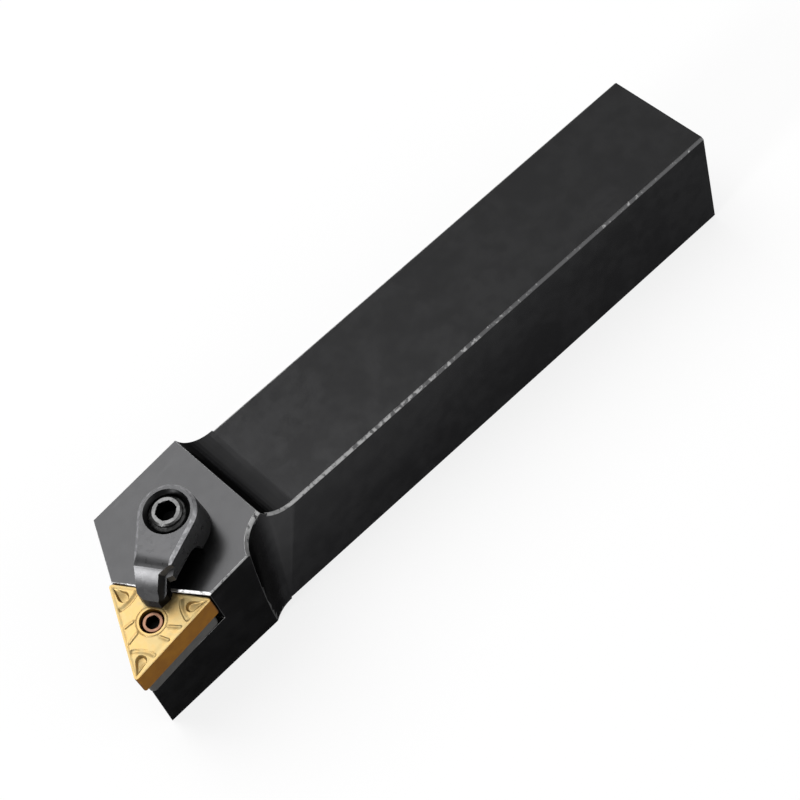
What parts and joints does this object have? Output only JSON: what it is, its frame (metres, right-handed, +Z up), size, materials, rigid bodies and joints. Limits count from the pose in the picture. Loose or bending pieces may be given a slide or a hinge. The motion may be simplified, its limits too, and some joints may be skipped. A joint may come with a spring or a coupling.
{
  "type": "turning tool holder",
  "caption": "Square-shank right-hand lathe tool holder with a triangular insert held by a centre pin and a top clamp.",
  "frame": {"origin": "middle of the shank's bottom edge at its back end", "axes": "+X along the shank from the back end to the cutting tip, +Y towards the cutting side, +Z up from the face that lies on the tool post"},
  "size_m": [0.1253, 0.025, 0.0309],
  "materials": {
    "holder_steel": "blackened, fine ground",
    "shim_carbide": "ground carbide, dull grey",
    "coated_carbide": "gold-coloured coating, satin",
    "pin_steel": "tempered brown steel",
    "clamp_steel": "bead-blasted, satin grey",
    "screw_steel": "turned, dark grey thread"
  },
  "bodies": {
    "holder": {"holder_body": "holder_steel", "shim": "shim_carbide", "insert": "coated_carbide", "lock_pin": "pin_steel"},
    "clamp_screw": {"clamp_screw": "screw_steel"},
    "clamp": {"clamp": "clamp_steel"}
  },
  "joints": [
    {"name": "clamp_screw_turn", "type": "hinge", "parent": "holder", "child": "clamp_screw", "pos_m": [0.10523, 0.00247, 0.0233], "axis": [0.0984, 0.1093, 0.9891], "range_deg": [0, 900]},
    {"name": "clamp_lift", "type": "slide", "parent": "holder", "child": "clamp", "axis": [0.0984, 0.1093, 0.9891], "range_m": [0, 0.005]}
  ],
  "couplings": [
    {"joint": "clamp_screw_turn", "follows": "clamp_lift", "rad_per_m": 3141.6}
  ]
}
